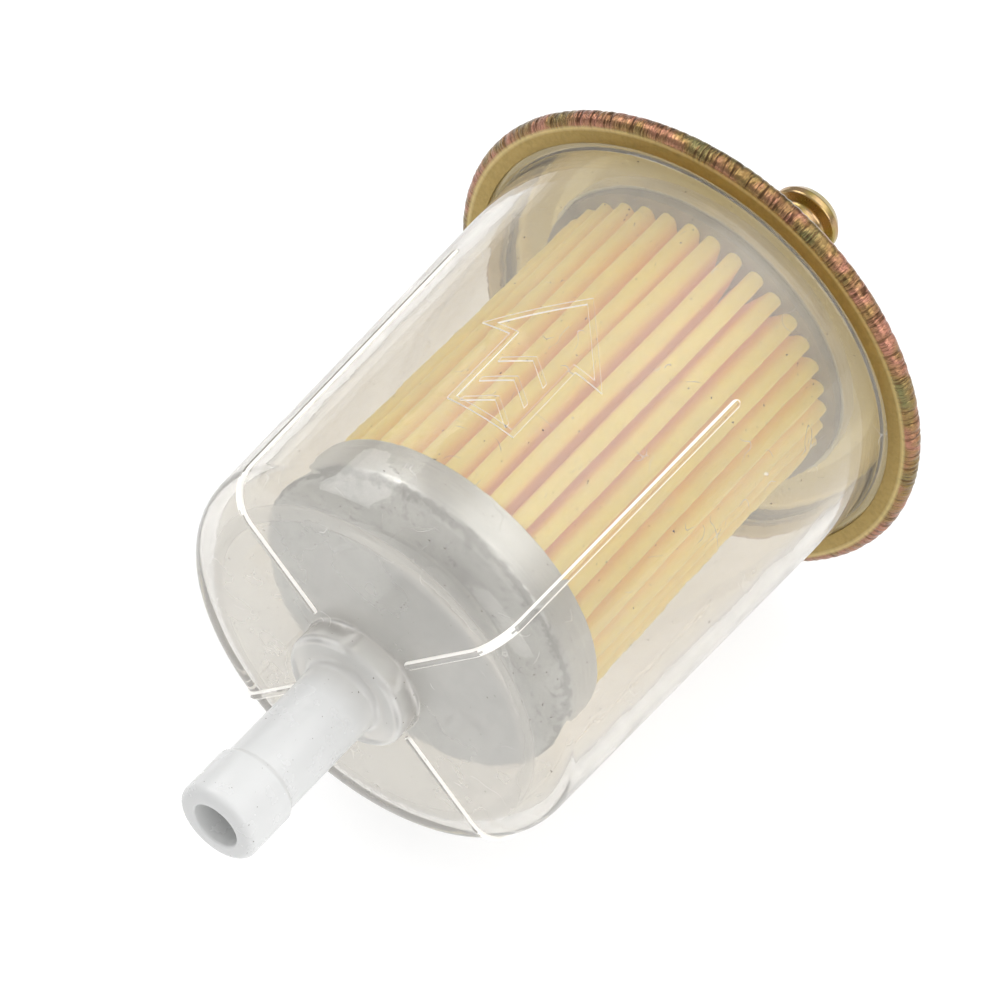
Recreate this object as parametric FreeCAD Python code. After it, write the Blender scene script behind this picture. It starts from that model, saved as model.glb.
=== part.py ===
"""Inline fuel filter: a clear moulded bowl, a rolled-on steel cover and a pleated paper element.

The axis of the filter is +X, from the inlet nipple to the outlet nipple, which is the way the fuel flows.
+Z points up through the arrow on the bowl's side. The origin is on the axis, in the middle of the inlet
nipple's bead. All sizes are in millimetres and degrees.
"""

import FreeCAD, Part
import math
import os

# --- bowl: inlet nipple and boss -------------------------------------------------------------------
inlet_bead_height = 0.4
inlet_bead_land = 5.0
inlet_tip_round = 0.9
inlet_shoulder = 0.6
inlet_neck_radius = 4.0
inlet_neck_length = 12.9
inlet_bore_radius = 2.5
neck_root_round = 0.8
boss_width = 2.75
boss_height = 2.9
boss_round = 0.8

# --- bowl: cup -------------------------------------------------------------------------------------
bowl_length = 53.9
base_radius = 22.3
side_taper = 2.1
wall = 1.8
floor_thickness = 2.0
corner_round = 3.9
inner_corner_round = 2.4
flare_round = 0.8
flange_width = 3.3
flange_thickness = 1.0

# --- bowl: ribs and arrow --------------------------------------------------------------------------
rib_count = 4
rib_width = 0.95
rib_height = 0.4
rib_boss_gap = 0.9
rib_end_from_base = 37.9
arrow_from_base = 16.8
arrow_length = 18.1
arrow_head_length = 8.2
arrow_head_width = 13.9
arrow_shaft_width = 7.6
arrow_line = 0.6
arrow_height = 0.25
arrow_turn = 3.5
chevron_count = 3
chevron_depth = 2.0
chevron_pitch = 3.0

# --- cover and gasket ------------------------------------------------------------------------------
sheet = 0.45
lip_gap = 0.05
rim_flat = 0.25
bend_round = 0.5
gasket_thickness = 0.35
gasket_width = 2.1
flange_gap = 0.1
plateau_height = 3.0
plateau_clearance = 1.7
collar_height = 2.15
collar_wall = 0.5

# --- outlet tube -----------------------------------------------------------------------------------
tube_radius = 2.9
tube_bore_radius = 2.1
tube_reach = 19.55
outlet_bead_height = 1.15
outlet_bead_land = 0.8
outlet_bead_shoulder = 0.5
outlet_bead_taper = 1.0
outlet_tip_depth = 0.65
outlet_tip_round = 0.2
tube_flange_width = 1.0
tube_flange_thickness = 0.5
braze_size = 0.8

# --- filter element --------------------------------------------------------------------------------
element_clearance = 3.3
cap_sheet = 0.4
cap_floor_gap = 6.2
lower_skirt_height = 5.0
cap_round = 1.2
cap_step_radius = 10.5
cap_step = 0.5
pleat_count = 38
pleat_inner_radius = 8.3
paper_thickness = 0.4
pleat_tip_round = 0.85
pleat_valley_round = 0.12
pleat_cap_clearance = 0.15
glue_depth = 2.6
upper_cap_clearance = 1.0
upper_skirt_height = 2.0
element_hole_radius = 5.2
element_seal_width = 3.4
element_seal_thickness = 1.3
core_wall = 0.4
core_clearance = 0.1
core_hole_radius = 1.5
core_hole_rows = 11
core_holes_around = 8
clip_sheet = 0.25
clip_clearance = 0.03
clip_depth = 3.2

# --- places along the axis, worked out from the sizes ----------------------------------------------
neck_x = inlet_bead_land / 2 + inlet_shoulder
tip_x = -inlet_bead_land / 2 - inlet_tip_round
boss_x = neck_x + inlet_neck_length
base_x = boss_x + boss_height
floor_x = base_x + floor_thickness
flange_x = base_x + bowl_length
flange_top_x = flange_x + flange_thickness
gasket_top_x = flange_top_x + gasket_thickness
rim_top_x = gasket_top_x + sheet
lip_x = flange_x - sheet
plateau_in_x = gasket_top_x + plateau_height
plateau_x = plateau_in_x + sheet
collar_x = plateau_x + collar_height
outlet_end_x = plateau_x + tube_reach
cap_face_x = floor_x + cap_floor_gap
lower_skirt_x = cap_face_x + lower_skirt_height
upper_cap_top_x = plateau_in_x - element_seal_thickness
upper_cap_in_x = upper_cap_top_x - cap_sheet
upper_skirt_x = upper_cap_top_x - upper_skirt_height
paper_start_x = cap_face_x + cap_sheet + glue_depth
paper_end_x = upper_cap_in_x - glue_depth

# --- radii worked out from the sizes ---------------------------------------------------------------
inlet_bead_radius = inlet_neck_radius + inlet_bead_height
boss_radius = inlet_neck_radius + boss_width
mouth_radius = base_radius + side_taper
outlet_bead_radius = tube_radius + outlet_bead_height
outlet_tip_radius = outlet_bead_radius - outlet_tip_depth
tube_flange_radius = tube_radius + tube_flange_width
pleat_outer_radius = base_radius - wall - element_clearance
flange_radius = mouth_radius + flange_width
rim_in_radius = flange_radius + flange_gap
rim_radius = rim_in_radius + sheet
lip_radius = mouth_radius + flare_round + lip_gap
lower_cap_in_radius = pleat_outer_radius + pleat_cap_clearance
lower_cap_radius = lower_cap_in_radius + cap_sheet
upper_cap_in_radius = pleat_outer_radius + upper_cap_clearance
upper_cap_radius = upper_cap_in_radius + cap_sheet
plateau_radius = upper_cap_radius + plateau_clearance
element_seal_radius = element_hole_radius + element_seal_width
roll_round = (rim_top_x - lip_x - rim_flat) / 2
core_radius = pleat_inner_radius - core_clearance
side_draft = math.atan2(mouth_radius - base_radius, bowl_length)

X_AXIS = FreeCAD.Vector(1, 0, 0)
ORIGIN = FreeCAD.Vector(0, 0, 0)


def revolve(points):
    """A solid of revolution about the axis from its closed outline of (x, radius) points."""
    corners = [FreeCAD.Vector(x, 0, r) for x, r in points]
    outline = Part.makePolygon(corners + corners[:1])
    return Part.Face(outline).revolve(ORIGIN, X_AXIS, 360)


def ring(x0, x1, outer, inner):
    """A plain ring between two places on the axis."""
    return revolve([(x0, inner), (x1, inner), (x1, outer), (x0, outer)])


def rod(x0, x1, radius):
    """A plain cylinder on the axis."""
    return Part.makeCylinder(radius, x1 - x0, FreeCAD.Vector(x0, 0, 0), X_AXIS)


def round_rims(shape, rims):
    """Fillets the circular edges at the given (x, radius, fillet radius) places."""
    for x, r, fillet in rims:
        edges = [
            edge
            for edge in shape.Edges
            if isinstance(edge.Curve, Part.Circle)
            and abs(edge.Curve.Radius - r) < 1e-4
            and abs(edge.Curve.Center.x - x) < 1e-4
        ]
        if not edges:
            raise ValueError(f"no circular edge at x {x:.3f}, radius {r:.3f}")
        shape = shape.makeFillet(fillet, edges)
    return shape


def side_radius(x):
    """The outer radius of the tapered side at a place on the axis."""
    return base_radius + (x - base_x) * math.tan(side_draft)


def cup_outline(out):
    """The cup's outer form, grown outwards by a distance, as a solid without its nipple."""
    x0 = base_x - out
    grown = revolve(
        [
            (x0, 0),
            (x0, side_radius(x0) + out / math.cos(side_draft)),
            (flange_x, mouth_radius + out / math.cos(side_draft)),
            (flange_x, 0),
        ]
    )
    corner = side_radius(x0) + out / math.cos(side_draft)
    return round_rims(grown, [(x0, corner, corner_round + out)])


def slab(x0, x1, y0, y1, z0, z1):
    """A box between two corners."""
    return Part.makeBox(x1 - x0, y1 - y0, z1 - z0, FreeCAD.Vector(x0, y0, z0))


def rib(angle):
    """One rib from beside the boss, over the base and up the side, with rounded ends."""
    half = rib_width / 2
    inner = boss_radius + rib_boss_gap
    x0 = base_x - 2 * rib_height
    x1 = base_x + rib_end_from_base
    across = mouth_radius + flange_width
    strip = slab(x0, x1 - half, -half, half, inner + half, across)
    side_end = Part.makeCylinder(half, across, FreeCAD.Vector(x1 - half, 0, 0))
    base_end = Part.makeCylinder(half, floor_thickness, FreeCAD.Vector(x0, 0, inner + half), X_AXIS)
    blade = strip.fuse(side_end).fuse(base_end)
    keep = slab(x0, x1, -half, half, inner, across)
    blade = blade.common(keep).common(cup_outline(rib_height))
    shell = blade.cut(cup_outline(-wall / 2))
    shell.rotate(ORIGIN, X_AXIS, angle)
    return shell


def arrow_face(outline, width):
    """A flat band of the given width along the inside of a closed outline of (x, y) points."""
    corners = [FreeCAD.Vector(x, y, 0) for x, y in outline]
    outer = Part.Face(Part.makePolygon(corners + corners[:1]))
    inner = outer.makeOffset2D(-width, 2, False, False)
    return outer.cut(inner)


def raised_on_side(face):
    """Raises a flat pattern from the bowl's side, straight above it."""
    prism = face.extrude(FreeCAD.Vector(0, 0, mouth_radius + flange_width))
    mark = prism.common(cup_outline(arrow_height)).cut(cup_outline(-wall / 2))
    mark.rotate(ORIGIN, X_AXIS, arrow_turn)
    return mark


def arrow():
    """The raised arrow outline, pointing the way the fuel flows."""
    x0 = base_x + arrow_from_base
    x1 = x0 + arrow_length - arrow_head_length
    x2 = x0 + arrow_length
    shaft, head = arrow_shaft_width / 2, arrow_head_width / 2
    outline = [(x0, -shaft), (x1, -shaft), (x1, -head), (x2, 0), (x1, head), (x1, shaft), (x0, shaft)]
    return raised_on_side(arrow_face(outline, arrow_line))


def chevron(index):
    """One of the plain chevrons inside the arrow's shaft."""
    middle = base_x + arrow_from_base + (arrow_length - arrow_head_length) / 2
    tip = middle + chevron_depth / 2 + (index - (chevron_count - 1) / 2) * chevron_pitch
    half = arrow_shaft_width / 2 - 2 * arrow_line
    back = tip - chevron_depth
    points = [
        (tip, 0),
        (back, half),
        (back - arrow_line, half),
        (tip - arrow_line, 0),
        (back - arrow_line, -half),
        (back, -half),
    ]
    corners = [FreeCAD.Vector(x, y, 0) for x, y in points]
    return raised_on_side(Part.Face(Part.makePolygon(corners + corners[:1])))


def bowl():
    """The clear bowl with its nipple, boss, flange, ribs and arrow, in one moulding."""
    outside = revolve(
        [
            (tip_x, 0),
            (tip_x, inlet_bead_radius),
            (inlet_bead_land / 2, inlet_bead_radius),
            (neck_x, inlet_neck_radius),
            (boss_x, inlet_neck_radius),
            (boss_x, boss_radius),
            (base_x, boss_radius),
            (base_x, base_radius),
            (flange_x, mouth_radius),
            (flange_x, flange_radius),
            (flange_top_x, flange_radius),
            (flange_top_x, 0),
        ]
    )
    outside = round_rims(
        outside,
        [
            (tip_x, inlet_bead_radius, inlet_tip_round),
            (boss_x, inlet_neck_radius, neck_root_round),
            (boss_x, boss_radius, boss_round),
            (base_x, base_radius, corner_round),
            (flange_x, mouth_radius, flare_round),
        ],
    )
    inner_mouth = mouth_radius - wall
    inner_base = side_radius(floor_x) - wall
    cavity = revolve([(floor_x, 0), (floor_x, inner_base), (flange_top_x, inner_mouth), (flange_top_x, 0)])
    cavity = round_rims(cavity, [(floor_x, inner_base, inner_corner_round)])
    solid = outside.cut(cavity).cut(rod(tip_x - 1, floor_x + 1, inlet_bore_radius))
    for i in range(rib_count):
        solid = solid.fuse(rib((i + 0.5) * 360 / rib_count))
    solid = solid.fuse(arrow())
    for i in range(chevron_count):
        solid = solid.fuse(chevron(i))
    return solid.removeSplitter()


def cover():
    """The pressed cover: a plateau with a drawn collar, and a rim rolled round the bowl's flange."""
    slope_radius = mouth_radius - wall
    solid = revolve(
        [
            (lip_x, lip_radius),
            (lip_x, rim_radius),
            (rim_top_x, rim_radius),
            (rim_top_x, slope_radius + sheet),
            (plateau_x, plateau_radius + sheet),
            (plateau_x, tube_radius + 2 * collar_wall),
            (collar_x, tube_radius + collar_wall),
            (collar_x, tube_radius),
            (plateau_in_x, tube_radius),
            (plateau_in_x, plateau_radius),
            (gasket_top_x, slope_radius),
            (gasket_top_x, rim_in_radius),
            (flange_x, rim_in_radius),
            (flange_x, lip_radius),
        ]
    )
    return round_rims(
        solid,
        [
            (lip_x, rim_radius, roll_round),
            (rim_top_x, rim_radius, roll_round),
            (plateau_x, plateau_radius + sheet, 2 * bend_round),
            (rim_top_x, slope_radius + sheet, bend_round),
            (plateau_in_x, plateau_radius, bend_round),
            (gasket_top_x, slope_radius, 2 * bend_round),
        ],
    )


def cover_gasket():
    """The flat seal between the bowl's flange and the cover, under the rolled lip."""
    return ring(flange_top_x, gasket_top_x, flange_radius, flange_radius - gasket_width)


def outlet_tube():
    """The beaded steel hose nipple, with a flange that bears against the cover's inner face."""
    foot_x = plateau_in_x - tube_flange_thickness
    taper_x = outlet_end_x - outlet_bead_taper
    land_x = taper_x - outlet_bead_land
    solid = revolve(
        [
            (foot_x, tube_bore_radius),
            (foot_x, tube_flange_radius),
            (plateau_in_x, tube_flange_radius),
            (plateau_in_x, tube_radius),
            (land_x - outlet_bead_shoulder, tube_radius),
            (land_x, outlet_bead_radius),
            (taper_x, outlet_bead_radius),
            (outlet_end_x, outlet_tip_radius),
            (outlet_end_x, tube_bore_radius),
        ]
    )
    return round_rims(solid, [(outlet_end_x, outlet_tip_radius, outlet_tip_round)])


def braze_ring():
    """The fillet of filler metal between the collar's end and the tube."""
    return revolve(
        [(collar_x, tube_radius), (collar_x, tube_radius + collar_wall), (collar_x + braze_size, tube_radius)]
    )


def lower_end_cap():
    """The closed cap on the inlet end, a shallow pan with a stepped face."""
    inside_x = cap_face_x + cap_sheet
    solid = revolve(
        [
            (cap_face_x - cap_step, 0),
            (cap_face_x - cap_step, cap_step_radius - cap_step),
            (cap_face_x, cap_step_radius),
            (cap_face_x, lower_cap_radius),
            (lower_skirt_x, lower_cap_radius),
            (lower_skirt_x, lower_cap_in_radius),
            (inside_x, lower_cap_in_radius),
            (inside_x, cap_step_radius - cap_sheet / 2),
            (inside_x - cap_step, cap_step_radius - cap_step - cap_sheet / 2),
            (inside_x - cap_step, 0),
        ]
    )
    return round_rims(
        solid,
        [
            (cap_face_x, lower_cap_radius, cap_round),
            (inside_x, lower_cap_in_radius, cap_round - cap_sheet),
        ],
    )


def upper_end_cap():
    """The cap on the outlet end, with the hole the clean fuel leaves by."""
    solid = revolve(
        [
            (upper_skirt_x, upper_cap_in_radius),
            (upper_cap_in_x, upper_cap_in_radius),
            (upper_cap_in_x, element_hole_radius),
            (upper_cap_top_x, element_hole_radius),
            (upper_cap_top_x, upper_cap_radius),
            (upper_skirt_x, upper_cap_radius),
        ]
    )
    return round_rims(solid, [(upper_cap_top_x, upper_cap_radius, cap_sheet)])


def pleat_frame(k):
    """The unit vectors out from and around the axis at half-pleat number k; even numbers are tips."""
    angle = math.pi * (k / pleat_count + 1)
    out = FreeCAD.Vector(0, math.sin(angle), math.cos(angle))
    around = FreeCAD.Vector(0, math.cos(angle), -math.sin(angle))
    return out, around


def pleat_wire(inset):
    """One skin of the folded paper, inset by a depth: flat walls tangent to round tips and valleys."""
    tip_round = pleat_tip_round - inset
    valley_round = pleat_valley_round + inset
    tip_centre = pleat_outer_radius - pleat_tip_round
    valley_centre = pleat_inner_radius + paper_thickness + pleat_valley_round
    half_turn = math.pi / pleat_count
    gap = math.hypot(
        tip_centre - valley_centre * math.cos(half_turn), valley_centre * math.sin(half_turn)
    )
    lean = math.atan2(valley_centre * math.sin(half_turn), tip_centre - valley_centre * math.cos(half_turn))
    cross = math.asin((tip_round + valley_round) / gap)
    turn = math.pi / 2 - cross + lean
    edges = []
    last = None
    first = None
    for k in range(0, 2 * pleat_count, 2):
        out, around = pleat_frame(k)
        centre = out * tip_centre
        reach = math.pi - turn
        start = centre + (out * math.cos(reach) - around * math.sin(reach)) * tip_round
        end = centre + (out * math.cos(reach) + around * math.sin(reach)) * tip_round
        if last is not None:
            edges.append(Part.LineSegment(last, start).toShape())
        else:
            first = start
        edges.append(Part.Arc(start, centre + out * tip_round, end).toShape())
        out, around = pleat_frame(k + 1)
        centre = out * valley_centre
        swing = math.pi - turn - half_turn
        start = centre + (-out * math.cos(swing) - around * math.sin(swing)) * valley_round
        last = centre + (-out * math.cos(swing) + around * math.sin(swing)) * valley_round
        edges.append(Part.LineSegment(end, start).toShape())
        edges.append(Part.Arc(start, centre - out * valley_round, last).toShape())
    edges.append(Part.LineSegment(last, first).toShape())
    return Part.Wire(Part.__sortEdges__(edges))


def pleated_paper():
    """The star-folded paper, a ribbon of constant thickness round the axis."""
    skin = Part.Face(pleat_wire(0)).cut(Part.Face(pleat_wire(paper_thickness)))
    paper = skin.extrude(X_AXIS * (paper_end_x - paper_start_x))
    paper.translate(X_AXIS * paper_start_x)
    return paper


def core_tube():
    """The perforated tube inside the pleats, with staggered rows of round holes."""
    x0, x1 = cap_face_x + cap_sheet - cap_step, upper_cap_in_x
    tube = ring(x0, x1, core_radius, core_radius - core_wall)
    first = x0 + glue_depth + 2 * core_hole_radius
    pitch = (x1 - glue_depth - 2 * core_hole_radius - first) / (core_hole_rows - 1)
    punches = []
    for row in range(core_hole_rows):
        for i in range(core_holes_around // 2):
            angle = (i + 0.5 * (row % 2)) * 360 / core_holes_around
            start = FreeCAD.Vector(first + row * pitch, 0, -pleat_inner_radius)
            punch = Part.makeCylinder(core_hole_radius, 2 * pleat_inner_radius, start)
            punch.rotate(ORIGIN, X_AXIS, angle)
            punches.append(punch)
    return tube.cut(punches)


def lower_adhesive():
    """The potting in the lower cap, which the pleats' ends are bonded to."""
    x0 = cap_face_x + cap_sheet
    disc = ring(x0, x0 + glue_depth, lower_cap_in_radius, core_radius)
    return round_rims(disc, [(x0, lower_cap_in_radius, cap_round - cap_sheet)])


def upper_adhesive():
    """The potting in the upper cap, which the pleats' ends are bonded to."""
    return ring(upper_cap_in_x - glue_depth, upper_cap_in_x, upper_cap_in_radius, core_radius)


def element_seal():
    """The rubber washer between the upper cap and the cover's plateau."""
    return ring(upper_cap_top_x, plateau_in_x, element_seal_radius, element_hole_radius)


def pleat_seam_clip():
    """The folded strip that closes the paper over the lowest pleat, between the two caps."""
    x0, x1 = lower_skirt_x + cap_sheet, upper_skirt_x - glue_depth
    inner = pleat_tip_round + clip_clearance
    outer = inner + clip_sheet
    top = pleat_outer_radius - pleat_tip_round
    depth = top - clip_depth
    body = Part.makeCylinder(outer, x1 - x0, FreeCAD.Vector(x0, 0, -top), X_AXIS)
    body = body.fuse(slab(x0, x1, -outer, outer, -top, -depth))
    hollow = Part.makeCylinder(inner, x1 - x0, FreeCAD.Vector(x0, 0, -top), X_AXIS)
    hollow = hollow.fuse(slab(x0, x1, -inner, inner, -top, -depth))
    return body.cut(hollow).removeSplitter()


def main():
    """Builds every piece and writes each one to its own file."""
    os.makedirs("parts", exist_ok=True)
    pieces = {
        "bowl": bowl(),
        "cover": cover(),
        "cover_gasket": cover_gasket(),
        "outlet_tube": outlet_tube(),
        "braze_ring": braze_ring(),
        "lower_end_cap": lower_end_cap(),
        "upper_end_cap": upper_end_cap(),
        "pleated_paper": pleated_paper(),
        "lower_adhesive": lower_adhesive(),
        "upper_adhesive": upper_adhesive(),
        "core_tube": core_tube(),
        "pleat_seam_clip": pleat_seam_clip(),
        "element_seal": element_seal(),
    }
    for name, piece in pieces.items():
        print(f"{name}: {len(piece.Solids)} solid, {piece.Volume:.1f} mm3, valid {piece.isValid()}")
        piece.exportStep(f"parts/{name}.step")


main()
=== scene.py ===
"""The looks of an inline fuel filter: clear bowl, plated steel cover and nipple, pleated paper element."""

import logging
import math
import random
from dataclasses import dataclass
from enum import Enum

import bpy
from mathutils import Matrix, Vector


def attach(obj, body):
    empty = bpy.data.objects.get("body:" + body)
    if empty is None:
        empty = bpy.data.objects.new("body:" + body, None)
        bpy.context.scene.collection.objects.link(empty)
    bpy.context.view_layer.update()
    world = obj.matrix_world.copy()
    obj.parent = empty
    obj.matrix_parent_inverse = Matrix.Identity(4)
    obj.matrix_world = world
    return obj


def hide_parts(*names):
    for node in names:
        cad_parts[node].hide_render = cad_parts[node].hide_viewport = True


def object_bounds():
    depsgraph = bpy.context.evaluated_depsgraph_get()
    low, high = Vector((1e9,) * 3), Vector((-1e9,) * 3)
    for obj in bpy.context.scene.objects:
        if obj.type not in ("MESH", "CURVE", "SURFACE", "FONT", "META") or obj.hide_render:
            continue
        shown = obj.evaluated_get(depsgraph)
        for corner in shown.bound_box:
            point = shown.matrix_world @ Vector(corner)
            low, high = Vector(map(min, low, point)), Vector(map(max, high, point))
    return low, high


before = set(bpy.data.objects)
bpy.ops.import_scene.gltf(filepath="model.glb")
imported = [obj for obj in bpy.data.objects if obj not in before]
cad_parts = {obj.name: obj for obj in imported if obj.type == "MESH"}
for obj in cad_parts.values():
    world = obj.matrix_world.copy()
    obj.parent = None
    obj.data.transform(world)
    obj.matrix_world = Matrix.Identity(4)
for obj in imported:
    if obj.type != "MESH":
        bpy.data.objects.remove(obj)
CAD_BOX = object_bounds()

MM = 0.001
LOG = logging.getLogger("fuel_filter")
Piece = bpy.types.Object
Material = bpy.types.Material
Socket = bpy.types.NodeSocket
Colour = tuple[float, float, float, float]
Corner = tuple[float, float, float]
Place = tuple[float, float, float]
Point = tuple[float, float]


class Axis(Enum):
    """The directions of the filter's frame that the modelling turns about."""

    FLOW = (1.0, 0.0, 0.0)
    SIDE = (0.0, 1.0, 0.0)


# --- modelling by hand ---


def deselect() -> None:
    """Leaves edit mode and drops the selection."""
    if bpy.context.object and bpy.context.object.mode != "OBJECT":
        bpy.ops.object.mode_set(mode="OBJECT")
    bpy.ops.object.select_all(action="DESELECT")


def activate(piece: Piece) -> None:
    """Selects one piece alone and makes it the active one.

    Args:
        piece: The object to work on.
    """
    deselect()
    bpy.context.view_layer.objects.active = piece
    piece.select_set(True)


def start_point(name: str, at: Vector) -> Piece:
    """Starts a piece as one vertex in edit mode.

    Args:
        name: The new piece's name.
        at: Where its first vertex lies, in metres.

    Returns:
        The new object, in edit mode with its vertex selected.
    """
    deselect()
    bpy.ops.mesh.primitive_plane_add(size=MM)
    piece = bpy.context.object
    piece.name = piece.data.name = name
    bpy.ops.object.mode_set(mode="EDIT")
    bpy.ops.mesh.select_mode(type="VERT")
    bpy.ops.mesh.select_all(action="SELECT")
    bpy.ops.mesh.merge(type="CENTER")
    bpy.ops.transform.translate(value=at)
    return piece


def draw_loop(points: list[Vector]) -> None:
    """Extrudes the selected vertex through a closed loop of points.

    Args:
        points: The loop's corners in metres; the selected vertex is at the first.
    """
    for before, after in zip(points, points[1:] + points[:1]):
        bpy.ops.mesh.extrude_vertices_move(TRANSFORM_OT_translate={"value": after - before})
    bpy.ops.mesh.select_all(action="SELECT")
    bpy.ops.mesh.remove_doubles(threshold=MM / 1000)


def softened(corners: list[Corner], steps: int = 7) -> list[Point]:
    """Rounds an outline's corners.

    Args:
        corners: (x, radius, rounding) of each corner of a closed outline, in millimetres.
        steps: How many pieces each rounding is drawn in.

    Returns:
        The (x, radius) points of the rounded outline, in millimetres.
    """
    points: list[Point] = []
    for i, (x, r, fillet) in enumerate(corners):
        here = Vector((x, r))
        if fillet <= 0:
            points.append((x, r))
            continue
        back = (Vector(corners[i - 1][:2]) - here).normalized()
        ahead = (Vector(corners[(i + 1) % len(corners)][:2]) - here).normalized()
        half = back.angle(ahead) / 2
        centre = here + (back + ahead).normalized() * fillet / math.sin(half)
        start = here + back * fillet / math.tan(half) - centre
        end = here + ahead * fillet / math.tan(half) - centre
        first = math.atan2(start.y, start.x)
        sweep = (math.atan2(end.y, end.x) - first + math.pi) % (2 * math.pi) - math.pi
        for k in range(steps + 1):
            turn = first + sweep * k / steps
            points.append((centre.x + fillet * math.cos(turn), centre.y + fillet * math.sin(turn)))
    return points


def turned(name: str, corners: list[Corner], around: int, steps: int = 7) -> Piece:
    """Turns a closed outline into a solid of revolution about the flow axis.

    Args:
        name: The new piece's name.
        corners: (x, radius, rounding) of the outline's corners, in millimetres.
        around: How many faces go round the axis.
        steps: How many pieces each rounding is drawn in.

    Returns:
        The finished piece.
    """
    loop = [Vector((x * MM, 0, r * MM)) for x, r in softened(corners, steps)]
    piece = start_point(name, loop[0])
    draw_loop(loop)
    bpy.ops.mesh.spin(steps=around, angle=2 * math.pi, center=(0, 0, 0), axis=Axis.FLOW.value)
    face_outwards()
    finish_piece(piece)
    return piece


def between(first: Point, last: Point, steps: int) -> list[Point]:
    """Divides a straight line into equal steps.

    Args:
        first: Where it starts.
        last: Where it ends.
        steps: How many steps it has.

    Returns:
        The points between its ends.
    """
    shares = [i / steps for i in range(1, steps)]
    return [tuple(a + (b - a) * share for a, b in zip(first, last)) for share in shares]


def swung(out: float, across: float, turn: float) -> Point:
    """The (y, z) point at a distance outwards and across from the direction of a turn."""
    return (
        out * math.sin(turn) + across * math.cos(turn),
        out * math.cos(turn) - across * math.sin(turn),
    )


def face_outwards(merge: bool = True) -> None:
    """Points all faces of the mesh in edit mode outwards.

    Args:
        merge: Whether its doubled vertices are merged first.
    """
    bpy.ops.mesh.select_all(action="SELECT")
    if merge:
        bpy.ops.mesh.remove_doubles(threshold=MM / 1000)
    bpy.ops.mesh.normals_make_consistent(inside=False)


def finish_piece(piece: Piece, angle: float = 38) -> None:
    """Applies a piece's place to its mesh and shades it smooth up to an angle.

    Args:
        piece: The object to finish.
        angle: The sharpest edge that is still shaded smooth, in degrees.
    """
    activate(piece)
    bpy.ops.object.transform_apply(location=True, rotation=True, scale=True)
    bpy.ops.object.shade_smooth_by_angle(angle=math.radians(angle))


def apply_modifier(piece: Piece, kind: str, **settings: object) -> None:
    """Adds a modifier to a piece and applies it.

    Args:
        piece: The object to change.
        kind: The modifier's type.
        **settings: The modifier's values by name.
    """
    activate(piece)
    modifier = piece.modifiers.new(kind.title(), kind)
    for key, value in settings.items():
        setattr(modifier, key, value)
    bpy.ops.object.modifier_apply(modifier=modifier.name)


def join(pieces: list[Piece], name: str) -> Piece:
    """Joins pieces into one object.

    Args:
        pieces: The objects to join.
        name: The joined object's name.

    Returns:
        The joined object.
    """
    activate(pieces[0])
    for piece in pieces:
        piece.select_set(True)
    bpy.ops.object.join()
    pieces[0].name = pieces[0].data.name = name
    return pieces[0]


def copy_turned(piece: Piece, degrees: float) -> Piece:
    """Copies a piece with its own mesh, turned about the flow axis.

    Args:
        piece: The object to copy.
        degrees: How far to turn the copy.

    Returns:
        The copy.
    """
    copy = piece.copy()
    copy.data = piece.data.copy()
    bpy.context.scene.collection.objects.link(copy)
    copy.data.transform(Matrix.Rotation(math.radians(degrees), 4, "X"))
    return copy


def coat(piece: Piece, *materials: Material) -> None:
    """Gives a piece its materials, in place of any that it has.

    Args:
        piece: The object to dress.
        *materials: Its materials in order.
    """
    piece.data.materials.clear()
    for material in materials:
        piece.data.materials.append(material)


# --- finishes ---


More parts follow.
